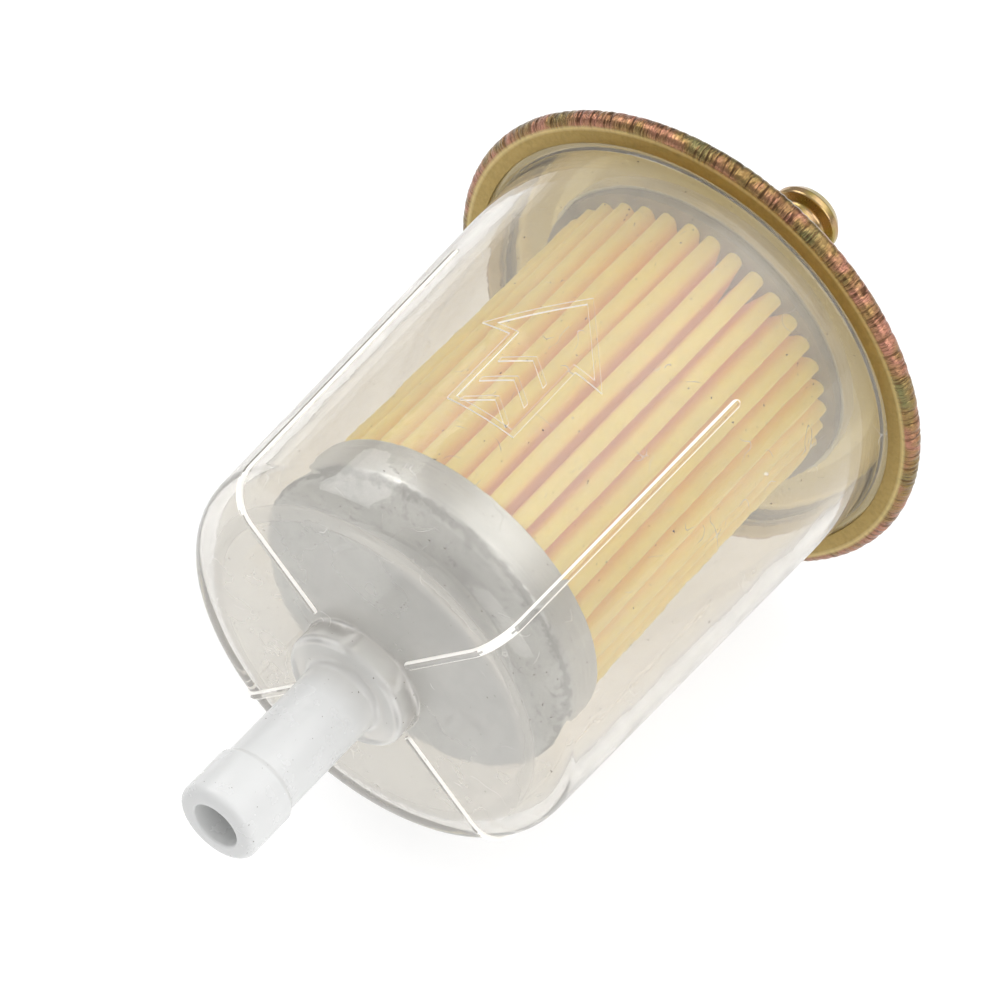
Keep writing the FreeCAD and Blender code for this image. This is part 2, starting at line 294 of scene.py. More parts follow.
class Nodes:
    """A material's node tree, with short calls for the nodes that the finishes share."""

    def __init__(self, name: str) -> None:
        """Makes an empty material with a Principled surface and Object coordinates.

        Args:
            name: The material's name.
        """
        self.material = bpy.data.materials.new(name)
        self.material.use_nodes = True
        self.tree = self.material.node_tree
        self.shader = self.tree.nodes["Principled BSDF"]
        self.place = self.tree.nodes.new("ShaderNodeTexCoord").outputs["Object"]
        self.parts = None

    def link(self, source: Socket, target: Socket) -> None:
        """Joins an output to an input."""
        self.tree.links.new(source, target)

    def feed(self, socket: Socket, term: object) -> None:
        """Gives an input a number or colour of its own, or another node's output."""
        if isinstance(term, (int, float, tuple)):
            socket.default_value = term
        else:
            self.link(term, socket)

    def set(self, **values: object) -> None:
        """Sets the surface's own values; an underscore stands for a space in a socket's name."""
        for key, value in values.items():
            self.shader.inputs[key.replace("_", " ")].default_value = value

    def math(self, kind: str, *terms: object) -> Socket:
        """Adds a Math node.

        Args:
            kind: The operation.
            *terms: Numbers or outputs to work on.

        Returns:
            The result's output.
        """
        node = self.tree.nodes.new("ShaderNodeMath")
        node.operation = kind
        for socket, term in zip(node.inputs, terms):
            self.feed(socket, term)
        return node.outputs[0]

    def times(self, *terms: object) -> Socket:
        """Multiplies two terms."""
        return self.math("MULTIPLY", *terms)

    def plus(self, *terms: object) -> Socket:
        """Adds two terms."""
        return self.math("ADD", *terms)

    def rest(self, share: Socket) -> Socket:
        """What a share leaves of 1."""
        return self.math("SUBTRACT", 1, share)

    def axes(self) -> tuple[Socket, Socket, Socket]:
        """The place along the flow axis, to the side and up, in metres."""
        if self.parts is None:
            self.parts = self.tree.nodes.new("ShaderNodeSeparateXYZ")
            self.link(self.place, self.parts.inputs[0])
        return tuple(self.parts.outputs[:3])

    def radius(self) -> Socket:
        """The distance from the flow axis, in metres."""
        _, side, up = self.axes()
        squares = (self.times(side, side), self.times(up, up))
        return self.math("SQRT", self.plus(*squares))

    def turn(self) -> Socket:
        """The angle about the flow axis, in radians."""
        _, side, up = self.axes()
        return self.math("ARCTAN2", side, up)

    def facing(self) -> Socket:
        """How far the surface faces the outlet: 1 towards it, -1 towards the inlet."""
        apart = self.tree.nodes.new("ShaderNodeSeparateXYZ")
        self.link(self.place.node.outputs["Normal"], apart.inputs[0])
        return apart.outputs["X"]

    def combine(self, x: object, y: object, z: object) -> Socket:
        """Makes a vector of three numbers or outputs."""
        node = self.tree.nodes.new("ShaderNodeCombineXYZ")
        for socket, term in zip(node.inputs, (x, y, z)):
            self.feed(socket, term)
        return node.outputs[0]

    def noise(self, scale: float, detail: float = 3, rough: float = 0.55, vector: object = None) -> Socket:
        """Adds a noise pattern.

        Args:
            scale: Pattern cells per metre, or per unit of the vector.
            detail: Octaves of detail.
            rough: How strong the finer octaves are.
            vector: The output to read the place from; the object's own by default.

        Returns:
            The pattern's value output.
        """
        node = self.tree.nodes.new("ShaderNodeTexNoise")
        node.inputs["Scale"].default_value = scale
        node.inputs["Detail"].default_value = detail
        node.inputs["Roughness"].default_value = rough
        self.link(vector or self.place, node.inputs["Vector"])
        return node.outputs["Fac"]

    def ramp(self, value: Socket, stops: list[tuple[float, Colour]]) -> Socket:
        """Turns a value into a colour.

        Args:
            value: The output to read.
            stops: (position, colour) pairs in rising order.

        Returns:
            The colour output.
        """
        node = self.tree.nodes.new("ShaderNodeValToRGB")
        band = node.color_ramp
        while len(band.elements) < len(stops):
            band.elements.new(1)
        for element, (position, colour) in zip(band.elements, stops):
            element.position, element.color = position, colour
        self.link(value, node.inputs[0])
        return node.outputs[0]

    def span(self, value: object, low: float, high: float, to_low: float = 0, to_high: float = 1) -> Socket:
        """Maps a range of values to another, clamped.

        Args:
            value: The output to read.
            low: The value that becomes to_low.
            high: The value that becomes to_high.
            to_low: The result's first end.
            to_high: The result's other end.

        Returns:
            The result's output.
        """
        node = self.tree.nodes.new("ShaderNodeMapRange")
        for key, number in (("From Min", low), ("From Max", high), ("To Min", to_low), ("To Max", to_high)):
            node.inputs[key].default_value = number
        self.link(value, node.inputs["Value"])
        return node.outputs[0]

    def mix(self, share: object, first: object, second: object, kind: str = "MIX") -> Socket:
        """Mixes two colours.

        Args:
            share: The second colour's share, from 0 to 1.
            first: A colour or an output.
            second: A colour or an output.
            kind: How they are blended.

        Returns:
            The colour output.
        """
        node = self.tree.nodes.new("ShaderNodeMix")
        node.data_type = "RGBA"
        node.blend_type = kind
        for index, term in ((0, share), (6, first), (7, second)):
            self.feed(node.inputs[index], term)
        return node.outputs[2]

    def bump(self, height: Socket, depth: float, under: object = None) -> Socket:
        """Adds relief to the surface.

        Args:
            height: The output that holds the height, from 0 to 1.
            depth: The relief's full depth in metres.
            under: Another relief's output to stand on.

        Returns:
            The normal output.
        """
        node = self.tree.nodes.new("ShaderNodeBump")
        node.inputs["Strength"].default_value = 1
        node.inputs["Distance"].default_value = depth
        self.link(height, node.inputs["Height"])
        if under is not None:
            self.link(under, node.inputs["Normal"])
        return node.outputs[0]

    def dress(self, colour: object = None, rough: object = None, normal: object = None) -> Material:
        """Links the finished patterns to the surface.

        Args:
            colour: The base colour's output.
            rough: The roughness output.
            normal: The relief's output.

        Returns:
            The finished material.
        """
        for key, source in (("Base Color", colour), ("Roughness", rough), ("Normal", normal)):
            if source is not None:
                self.link(source, self.shader.inputs[key])
        return self.material


@dataclass(frozen=True)
class ClearPlastic:
    """Clear moulded plastic, faintly milky, milkier in the thick nipple, with specks and fine scratches, a
    painted highlight of milkiness at the inner floor corner, and raised sides with a painted glow.
    """

    clear: Colour = (0.94, 0.915, 0.865, 1)
    milk: Colour = (0.82, 0.79, 0.745, 1)
    thick_milk: Colour = (0.78, 0.785, 0.78, 1)
    speck: Colour = (0.16, 0.14, 0.12, 1)
    refraction: float = 1.4
    thick_until: float = 0.0165
    thick_fade: float = 0.004
    corner_highlight_radius: float = 0.0184
    corner_highlight_start: float = 0.0208
    corner_highlight_end: float = 0.0218
    haze_low: float = 0.12
    haze_high: float = 0.19
    thick_haze: float = 0.68
    scratch_and_highlight_haze: float = 0.3
    raised_haze: float = 0.55
    raised_painted_glow: float = 0.36

    def make(self, name: str, raised: bool) -> Material:
        """Builds the material.

        Args:
            name: The material's name.
            raised: Whether it is for the ribs and marks, which are made milkier and given a painted glow.

        Returns:
            The material.
        """
        n = Nodes(name)
        along, _, _ = n.axes()
        thick = n.span(along, self.thick_until - self.thick_fade, self.thick_until + self.thick_fade, 1, 0)
        cloud = n.noise(90, 4)
        specks = n.span(n.noise(2600, 2, 0.4), 0.755, 0.77)
        contour = n.math("ABSOLUTE", n.math("SUBTRACT", n.noise(230, 1), 0.5))
        scratches = n.times(n.span(contour, 0.0035, 0.0015), n.span(n.noise(170, 2), 0.6, 0.64))
        # Painted highlight: a milky band at the inner floor corner stands in for the light ring that the
        # corner shows.
        corner = n.math("ABSOLUTE", n.math("SUBTRACT", n.radius(), self.corner_highlight_radius))
        corner_highlight = n.times(n.span(corner, 0.0008, 0.0005), n.span(along, 0.0206, self.corner_highlight_start))
        corner_highlight = n.times(corner_highlight, n.span(along, 0.0224, self.corner_highlight_end))
        colour = n.mix(n.span(cloud, 0.35, 0.7, 0, 0.3), self.clear, self.milk)
        colour = n.mix(thick, colour, self.thick_milk)
        colour = n.mix(specks, colour, self.speck)
        thin = n.span(cloud, 0.3, 0.75, self.haze_low, self.haze_high)
        haze = n.plus(thin, n.times(thick, self.thick_haze))
        scratches = n.times(scratches, n.rest(thick))
        # Real scratches and the painted corner highlight both add milkiness here.
        marks = n.times(n.math("MAXIMUM", scratches, corner_highlight), self.scratch_and_highlight_haze)
        haze = n.plus(haze, marks)
        if raised:
            haze = n.plus(haze, self.raised_haze)
            # Painted glow: the raised sides give off light of their own in the milk colour.
            n.set(Emission_Color=self.milk, Emission_Strength=self.raised_painted_glow)
        clear = n.rest(n.math("MAXIMUM", haze, n.times(specks, 0.8)))
        n.link(clear, n.shader.inputs["Transmission Weight"])
        worn = n.span(n.noise(400, 3), 0.35, 0.75, 0.008, 0.035)
        rough = n.plus(worn, n.times(thick, 0.25))
        drawn = n.combine(n.times(along, 30), n.turn(), n.radius())
        relief = n.bump(n.noise(24, 1, 0.5, drawn), 0.000004)
        relief = n.bump(n.noise(140, 1), 0.00005, relief)
        n.set(IOR=self.refraction, Specular_IOR_Level=0.5)
        return n.dress(colour, rough, relief)


@dataclass(frozen=True)
class ZincPlate:
    """Yellow chromate over zinc: olive gold with pink and green patches; a cover's outer face is plain
    gold, and its inside is painted paler, with a painted glow of its own."""

    olive: Colour = (0.15, 0.095, 0.04, 1)
    gold: Colour = (0.32, 0.2, 0.08, 1)
    pink: Colour = (0.46, 0.21, 0.15, 1)
    green: Colour = (0.2, 0.2, 0.09, 1)
    brown: Colour = (0.1, 0.05, 0.022, 1)
    # Painted light: the paler colour of the cover's inward faces.
    inside: Colour = (0.78, 0.66, 0.3, 1)
    inside_metal: float = 0.35
    inside_painted_glow: float = 0.22
    face: Colour = (0.46, 0.34, 0.12, 1)
    face_share: float = 0.72
    lip_radius: float = 0.0271
    lip_end: float = 0.0728
    skin_from: float = 0.0266
    skin_to: float = 0.0274

    def make(self, name: str, rolled: bool) -> Material:
        """Builds the material.

        Args:
            name: The material's name.
            rolled: Whether it is for the cover, with its dull lip, crimp wrinkles with painted shade, and a
                painted pale, glowing inside.

        Returns:
            The material.
        """
        n = Nodes(name)
        along, _, _ = n.axes()
        patches = n.noise(130, 3, 0.6)
        tint = n.ramp(
            patches,
            [(0.3, self.green), (0.42, self.gold), (0.52, self.pink), (0.6, self.gold), (0.72, self.green)],
        )
        grain = n.noise(2600, 4, 0.7)
        colour = n.mix(n.span(grain, 0.35, 0.75, 0, 0.3), tint, self.olive)
        rough = n.span(grain, 0.3, 0.75, 0.14, 0.32)
        relief = n.bump(grain, 0.000012)
        if rolled:
            under = n.span(along, self.lip_end, self.lip_end - 0.0004)
            inside = n.span(n.radius(), self.lip_radius + 0.0005, self.lip_radius - 0.0004)
            lip = n.times(under, inside)
            coarse = n.noise(1500, 4, 0.75)
            dull = n.ramp(
                coarse,
                [(0.3, self.brown), (0.42, self.olive), (0.55, self.gold), (0.75, self.green)],
            )
            colour = n.mix(lip, colour, dull)
            rough = n.plus(rough, n.times(lip, 0.22))
            relief = n.bump(n.times(coarse, lip), 0.00008, relief)
            strokes = n.combine(n.times(n.turn(), 60), n.times(along, 250), 0)
            lines = n.span(n.noise(1, 3, 0.6, strokes), 0.42, 0.6)
            skin = n.span(n.radius(), self.skin_from, self.skin_to)
            outer = n.times(n.rest(lip), skin)
            relief = n.bump(n.times(lines, outer), 0.00006, relief)
            inward = n.span(n.facing(), -0.05, -0.3)
            hidden = n.times(inward, n.rest(n.math("MAXIMUM", skin, lip)))
            seen = n.rest(hidden)
            flat = n.times(n.rest(skin), self.face_share)
            colour = n.mix(flat, colour, self.face)
            # Painted light: the inward faces take the paler inside colour in place of the plating.
            colour = n.mix(seen, self.inside, colour)
            # Painted shade: the low parts between the raised crimp strokes on the rim are darkened towards
            # brown.
            crease_shade = n.times(n.span(lines, 0.25, 0.0), outer)
            colour = n.mix(n.times(crease_shade, 0.75), colour, self.brown)
        n.set(Metallic=1.0)
        if rolled:
            n.link(n.span(seen, 0, 1, self.inside_metal, 1), n.shader.inputs["Metallic"])
            # Painted glow on the inward faces.
            n.set(Emission_Color=self.inside)
            n.link(n.span(seen, 0, 1, self.inside_painted_glow, 0), n.shader.inputs["Emission Strength"])
        return n.dress(colour, rough, relief)


@dataclass(frozen=True)
class BrushedMetal:
    """Sheet metal with round brush marks, painted shade at the lower cap's edge and, if set, its own light.
    """

    light: Colour = (0.66, 0.685, 0.71, 1)
    dark: Colour = (0.54, 0.565, 0.59, 1)
    edge_shade: Colour = (0.16, 0.165, 0.17, 1)
    edge_shade_x: float = 0.0276
    glow: float = 0.0

    def make(self, name: str) -> Material:
        """Builds the material.

        Args:
            name: The material's name.

        Returns:
            The material.
        """
        n = Nodes(name)
        along, _, _ = n.axes()
        rings = n.combine(n.times(n.radius(), 5000), n.times(along, 5000), n.turn())
        brush = n.noise(1, 4, 0.6, rings)
        cloud = n.noise(120, 3)
        colour = n.mix(n.span(cloud, 0.3, 0.7), self.dark, self.light)
        # Painted shade: a dark ragged band at the lower cap's rounded edge, which is also made rougher.
        edge = n.math("ABSOLUTE", n.math("SUBTRACT", along, self.edge_shade_x))
        spots = n.span(n.noise(900, 4, 0.7), 0.3, 0.7, -0.1, 0.35)
        shade_smear = n.plus(n.span(edge, 0.0007, 0.0, 0, 0.42), spots)
        shade_smear = n.times(n.span(shade_smear, 0.3, 0.45), n.span(edge, 0.0008, 0.0005))
        colour = n.mix(n.times(shade_smear, 0.3), colour, self.edge_shade)
        around = n.combine(n.times(along, 4200), n.times(n.turn(), 3), 0)
        streak = n.noise(1, 3, 0.6, around)
        colour = n.mix(n.span(streak, 0.35, 0.65, 0.3, 0), colour, self.dark, "MULTIPLY")
        rough = n.plus(n.span(brush, 0.3, 0.7, 0.28, 0.42), n.times(shade_smear, 0.25))
        relief = n.bump(brush, 0.000006)
        relief = n.bump(n.noise(200, 2), 0.00008, relief)
        n.set(Metallic=1.0, Emission_Color=self.light, Emission_Strength=self.glow)
        return n.dress(colour, rough, relief)


@dataclass(frozen=True)
class FilterPaper:
    """Resin-treated filter paper with fibres: pale yellow crests, painted shade turning the folds orange
    towards their depth, and a painted glow in its own colour.
    """

    crest: Colour = (0.94, 0.73, 0.16, 1)
    wall: Colour = (0.89, 0.58, 0.09, 1)
    fold: Colour = (0.82, 0.43, 0.09, 1)
    thread: Colour = (1, 0.93, 0.62, 1)
    fold_radius: float = 0.0142
    crest_radius: float = 0.0170
    glow: float = 0.13

    def make(self) -> Material:
        """Builds the material.

        Returns:
            The material.
        """
        n = Nodes("filter_paper")
        along, side, up = n.axes()
        depth = n.span(n.radius(), self.fold_radius, self.crest_radius)
        # Painted shade: the colour darkens from pale yellow at the crests to orange deep in the folds.
        colour = n.ramp(depth, [(0, self.fold), (0.55, self.wall), (1, self.crest)])
        drawn = [n.times(axis, scale) for axis, scale in ((along, 500), (side, 2600), (up, 2600))]
        fibre = n.noise(1, 5, 0.7, n.combine(*drawn))
        blotch = n.noise(160, 3)
        colour = n.mix(n.span(fibre, 0.35, 0.7, 0, 0.14), colour, self.thread)
        colour = n.mix(n.span(blotch, 0.45, 0.75, 0, 0.3), colour, self.wall)
        relief = n.bump(fibre, 0.00004)
        relief = n.bump(n.noise(350, 3), 0.00012, relief)
        n.set(Sheen_Weight=0.15, Subsurface_Weight=0.25, Subsurface_Radius=(0.0012, 0.0008, 0.0003))
        # Painted glow: the paper gives off light in its own colour.
        n.set(Subsurface_Scale=1.0, Emission_Strength=self.glow)
        n.link(colour, n.shader.inputs["Emission Color"])
        return n.dress(colour, n.span(fibre, 0.3, 0.7, 0.75, 0.95), relief)


@dataclass(frozen=True)
class Moulded:
    """A dull moulded or cast finish, such as rubber or potting."""

    light: Colour
    dark: Colour
    rough: float
    relief: float

    def make(self, name: str) -> Material:
        """Builds the material.

        Args:
            name: The material's name.

        Returns:
            The material.
        """
        n = Nodes(name)
        cloud = n.noise(260, 4)
        fine = n.noise(1800, 3)
        colour = n.mix(n.span(cloud, 0.3, 0.7), self.dark, self.light)
        rough = n.span(fine, 0.3, 0.7, self.rough - 0.08, self.rough + 0.08)
        return n.dress(colour, rough, n.bump(cloud, self.relief))


# --- the filter's pieces ---


@dataclass
class Bowl:
    """The clear bowl: nipple, boss, cup, flange, ribs and raised arrow in one moulding, in millimetres."""

    tip_x: float = -3.4
    bead_end: float = 2.5
    neck_x: float = 3.1
    boss_x: float = 16.0
    base_x: float = 18.9
    floor_x: float = 20.9
    flange_x: float = 72.8
    flange_top: float = 73.8
    bore: float = 2.5
    bead: float = 4.4
    neck: float = 4.0
    boss: float = 6.75
    base: float = 22.3
    mouth: float = 24.4
    flange: float = 27.7
    wall: float = 1.8
    corner: float = 3.9
    rib_width: float = 0.95
    rib_height: float = 0.38
    rib_start: float = 7.65
    rib_end: float = 56.8
    rib_turns: tuple[float, ...] = (45, 135, 225, 315)
    arrow_x: float = 35.7
    arrow_length: float = 18.1
    head_length: float = 8.2
    head_width: float = 13.9
    shaft_width: float = 7.6
    line: float = 0.6
    line_height: float = 0.22
    line_depth: float = 0.6
    arrow_turn: float = 3.5
    around: int = 240

    def side(self, x: float) -> float:
        """The outer radius of the tapered side at a place along the axis."""
        return self.base + (self.mouth - self.base) * (x - self.base_x) / (self.flange_x - self.base_x)

    def outline(self) -> list[Corner]:
        """Lists the corners of the moulding's half section.

        Returns:
            (x, radius, rounding) of each corner.
        """
        inner_base = self.side(self.floor_x) - self.wall
        inner_mouth = self.mouth - self.wall
        return [
            (self.tip_x, self.bore, 0.25),
            (self.tip_x, self.bead, 0.9),
            (self.bead_end, self.bead, 0.5),
            (self.neck_x, self.neck, 0.4),
            (self.boss_x, self.neck, 0.8),
            (self.boss_x, self.boss, 0.8),
            (self.base_x, self.boss, 0.35),
            (self.base_x, self.base, self.corner),
            (self.flange_x, self.mouth, 0.75),
            (self.flange_x, self.flange, 0.2),
            (self.flange_top, self.flange, 0.2),
            (self.flange_top, inner_mouth, 0.3),
            (self.floor_x, inner_base, 2.4),
            (self.floor_x, self.bore, 0.4),
        ]

    def rib(self) -> Piece:
        """Models one rib upwards of the axis: over the base, round the corner and along the side.

        Returns:
            The rib.
        """
        half = self.rib_width / 2
        tip_steps = ((0.12, 1.6), (0.3, 1.25))
        deselect()
        bpy.ops.mesh.primitive_circle_add(
            vertices=14,
            radius=half * MM * 0.5,
            fill_type="NGON",
            location=(self.base_x * MM, 0, self.rib_start * MM),
        )
        rib = bpy.context.object
        bpy.ops.object.mode_set(mode="EDIT")
        bpy.ops.transform.resize(value=(self.rib_height / half, 1, 1))
        for rise, growth in tip_steps:
            bpy.ops.mesh.extrude_region_move(TRANSFORM_OT_translate={"value": (0, 0, rise * MM)})
            bpy.ops.transform.resize(value=(growth, growth, 1))
        corner_r = self.side(self.base_x + self.corner) - self.corner
        run = corner_r - self.rib_start - sum(rise for rise, _ in tip_steps)
        bpy.ops.mesh.extrude_region_move(TRANSFORM_OT_translate={"value": (0, 0, run * MM)})
        draft = math.atan2(self.mouth - self.base, self.flange_x - self.base_x)
        bpy.ops.mesh.spin(
            steps=12,
            angle=math.pi / 2 - draft,
            center=((self.base_x + self.corner) * MM, 0, corner_r * MM),
            axis=-Vector(Axis.SIDE.value),
        )
        length = self.rib_end - self.base_x - self.corner
        for share, growth in ((0.985, 1), (0.009, 0.8), (0.006, 0.6)):
            step = Vector((math.cos(draft), 0, math.sin(draft))) * length * share * MM
            bpy.ops.mesh.extrude_region_move(TRANSFORM_OT_translate={"value": step})
            bpy.ops.transform.resize(value=(1, growth, growth))
        face_outwards()
        finish_piece(rib)
        return rib

    def mark(self, name: str, corners: list[Point], hollow: bool, moulding: Piece) -> Piece:
        """Models a mark that stands proud of the side.

        Args:
            name: The mark's name.
            corners: (x, y) corners of its outline in millimetres.
            hollow: Whether only a line along the outline is kept.
            moulding: The bowl that it lies on.

        Returns:
            The mark, ready to be joined to the bowl.
        """
        loop = [Vector((x * MM, y * MM, (self.mouth + 4) * MM)) for x, y in corners]
        mark = start_point(name, loop[0])
        draw_loop(loop)
        bpy.ops.mesh.edge_face_add()
        if hollow:
            bpy.ops.mesh.inset(thickness=self.line * MM)
            bpy.ops.mesh.delete(type="FACE")
            bpy.ops.mesh.select_all(action="SELECT")
            bpy.ops.mesh.subdivide(number_cuts=12)
        else:
            bpy.ops.mesh.quads_convert_to_tris()
            bpy.ops.mesh.subdivide(number_cuts=6)
        bpy.ops.mesh.normals_make_consistent(inside=False)
        deselect()
        apply_modifier(
            mark,
            "SHRINKWRAP",
            target=moulding,
            wrap_method="PROJECT",
            use_project_z=True,
            use_negative_direction=True,
            use_positive_direction=False,
            offset=self.line_height * MM,
        )
        apply_modifier(mark, "SOLIDIFY", thickness=self.line_depth * MM, offset=0)
        mark.data.transform(Matrix.Translation((0, 0, -self.line_depth / 2 * MM)))
        mark.data.transform(Matrix.Rotation(math.radians(self.arrow_turn), 4, "X"))
        activate(mark)
        bpy.ops.object.mode_set(mode="EDIT")
        face_outwards(False)
        deselect()
        return mark

    def marks(self, moulding: Piece) -> list[Piece]:
        """Models the arrow outline and its plain chevrons.

        Args:
            moulding: The bowl that they lie on.

        Returns:
            The marks.
        """
        x0, x2 = self.arrow_x, self.arrow_x + self.arrow_length
        x1 = x2 - self.head_length
        shaft, head = self.shaft_width / 2, self.head_width / 2
        arrow = [(x0, -shaft), (x1, -shaft), (x1, -head), (x2, 0), (x1, head), (x1, shaft), (x0, shaft)]
        made = [self.mark("arrow", arrow, True, moulding)]
        half = shaft - 2 * self.line
        for i in (-1, 0, 1):
            tip = (x0 + x1) / 2 + 1 + 3 * i
            corners = [
                (tip, 0),
                (tip - 2, half),
                (tip - 2 - self.line, half),
                (tip - self.line, 0),
                (tip - 2 - self.line, -half),
                (tip - 2, -half),
            ]
            made.append(self.mark(f"chevron_{i}", corners, False, moulding))
        return made

    def build(self, finish: ClearPlastic) -> Piece:
        """Builds the moulding and dresses it.

        Args:
            finish: The plastic it is made of.

        Returns:
            The finished bowl.
        """
        moulding = turned("clear_bowl", self.outline(), self.around, 9)
        marks = self.marks(moulding)
        first = self.rib()
        ribs = [copy_turned(first, turn) for turn in self.rib_turns]
        bpy.data.objects.remove(first)
        raised = join(marks + ribs, "raised_marks")
        plastics = (finish.make("clear_plastic", False), finish.make("raised_plastic", True))
        coat(moulding, *plastics)
        coat(raised, *plastics)
        # The sides of the ribs and marks take the raised plastic with its painted glow.
        for face in raised.data.polygons:
            out = Vector((0, face.center.y, face.center.z)).normalized()
            on_base = face.center.x < self.base_x * MM
            flat = max(abs(face.normal.dot(out)), abs(face.normal.x) if on_base else 0)
            face.material_index = int(flat < 0.9)
        apply_modifier(moulding, "BOOLEAN", operation="UNION", object=raised, solver="MANIFOLD")
        bpy.data.objects.remove(raised)
        finish_piece(moulding, 30)
        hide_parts("bowl")
        return moulding


@dataclass
class Cover:
    """The pressed steel cover with its rolled and crimped rim, in millimetres."""

    lip_x: float = 72.35
    flange_x: float = 72.8
    gasket_top: float = 74.15
    rim_top: float = 74.6
    plateau_in: float = 77.15
    plateau_x: float = 77.6
    collar_x: float = 79.75
    lip: float = 25.25
    rim: float = 28.25
    rim_in: float = 27.8
    slope: float = 22.6
    plateau: float = 20.3
    tube: float = 2.9
    sheet: float = 0.45
    collar_wall: float = 0.5
    crimp_depth: float = 0.13
    crimps: int = 190
    around: int = 1200
    seed: int = 11

    def outline(self) -> list[Corner]:
        """Lists the corners of the pressing's half section.

        Returns:
            (x, radius, rounding) of each corner.
        """
        return [
            (self.lip_x, self.lip, 0.12),
            (self.lip_x, self.rim, 1.05),
            (self.rim_top, self.rim, 1.05),
            (self.rim_top, self.slope + self.sheet, 0.5),
            (self.plateau_x, self.plateau + self.sheet, 1.0),
            (self.plateau_x, self.tube + 2 * self.collar_wall, 0.6),
            (self.collar_x, self.tube + self.collar_wall, 0.15),
            (self.collar_x, self.tube, 0),
            (self.plateau_in, self.tube, 0),
            (self.plateau_in, self.plateau, 0.5),
            (self.gasket_top, self.slope, 1.0),
            (self.gasket_top, self.rim_in, 0.5),
            (self.flange_x, self.rim_in, 0.3),
            (self.flange_x, self.lip, 0.12),
        ]

    def crimp(self, cover: Piece) -> None:
        """Presses the fine wrinkles of the rolling tool into the rim's outer skin.

        Args:
            cover: The turned cover.
        """
        rng = random.Random(self.seed)
        dents = []
        turn = 0.0
        while turn < 2 * math.pi:
            dents.append((turn, rng.uniform(0.25, 1.0), rng.uniform(0.006, 0.012)))
            turn += rng.uniform(0.3, 1.9) * 2 * math.pi / self.crimps
        low = self.rim - 1.1
        presses: dict[int, float] = {}
        for vertex in cover.data.vertices:
            x, y, z = vertex.co / MM
            r = math.hypot(y, z)
            skin = r - low
            on_wall = self.flange_x < x < self.gasket_top and r < self.rim_in + 0.02
            near_wall = self.flange_x + 0.05 < x < self.gasket_top - 0.05 and r < self.rim_in + 0.1
            if skin <= 0 or on_wall or near_wall:
                continue
            angle = math.atan2(y, z) % (2 * math.pi)
            step = round(angle / (2 * math.pi) * self.around)
            if step not in presses:
                presses[step] = max(
                    deep * math.exp(-(((angle - at) / width) ** 2)) for at, deep, width in dents
                )
            press = presses[step]
            share = min(1.0, skin / 0.8)
            scale = 1 - press * share * self.crimp_depth / r
            vertex.co.y *= scale
            vertex.co.z *= scale

    def build(self, finish: ZincPlate) -> Piece:
        """Builds the cover and dresses it.

        Args:
            finish: Its plating.

        Returns:
            The finished cover.
        """
        cover = turned("steel_cover", self.outline(), self.around, 5)
        self.crimp(cover)
        finish_piece(cover, 40)
        coat(cover, finish.make("zinc_cover", True))
        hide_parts("cover")
        return cover


@dataclass
class OutletTube:
    """The beaded steel hose nipple, in millimetres."""

    foot_x: float = 76.65
    cover_x: float = 77.15
    end_x: float = 97.15
    taper: float = 1.0
    land: float = 0.8
    shoulder: float = 0.5
    tube: float = 2.9
    bead: float = 4.05
    tip: float = 3.4
    bore: float = 2.1
    foot: float = 3.9
    around: int = 128

    def build(self, finish: ZincPlate) -> Piece:
        """Builds the nipple and dresses it.

        Args:
            finish: Its plating.

        Returns:
            The finished nipple.
        """
        taper_x = self.end_x - self.taper
        land_x = taper_x - self.land
        corners = [
            (self.foot_x, self.bore, 0.1),
            (self.foot_x, self.foot, 0.1),
            (self.cover_x, self.foot, 0.1),
            (self.cover_x, self.tube, 0),
            (land_x - self.shoulder, self.tube, 0.5),
            (land_x, self.bead, 0.35),
            (taper_x, self.bead, 0.5),
            (self.end_x, self.tip, 0.25),
            (self.end_x, self.bore, 0.3),
        ]
        tube = turned("outlet_nipple", corners, self.around, 8)
        coat(tube, finish.make("zinc_tube", False))
        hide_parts("outlet_tube")
        return tube


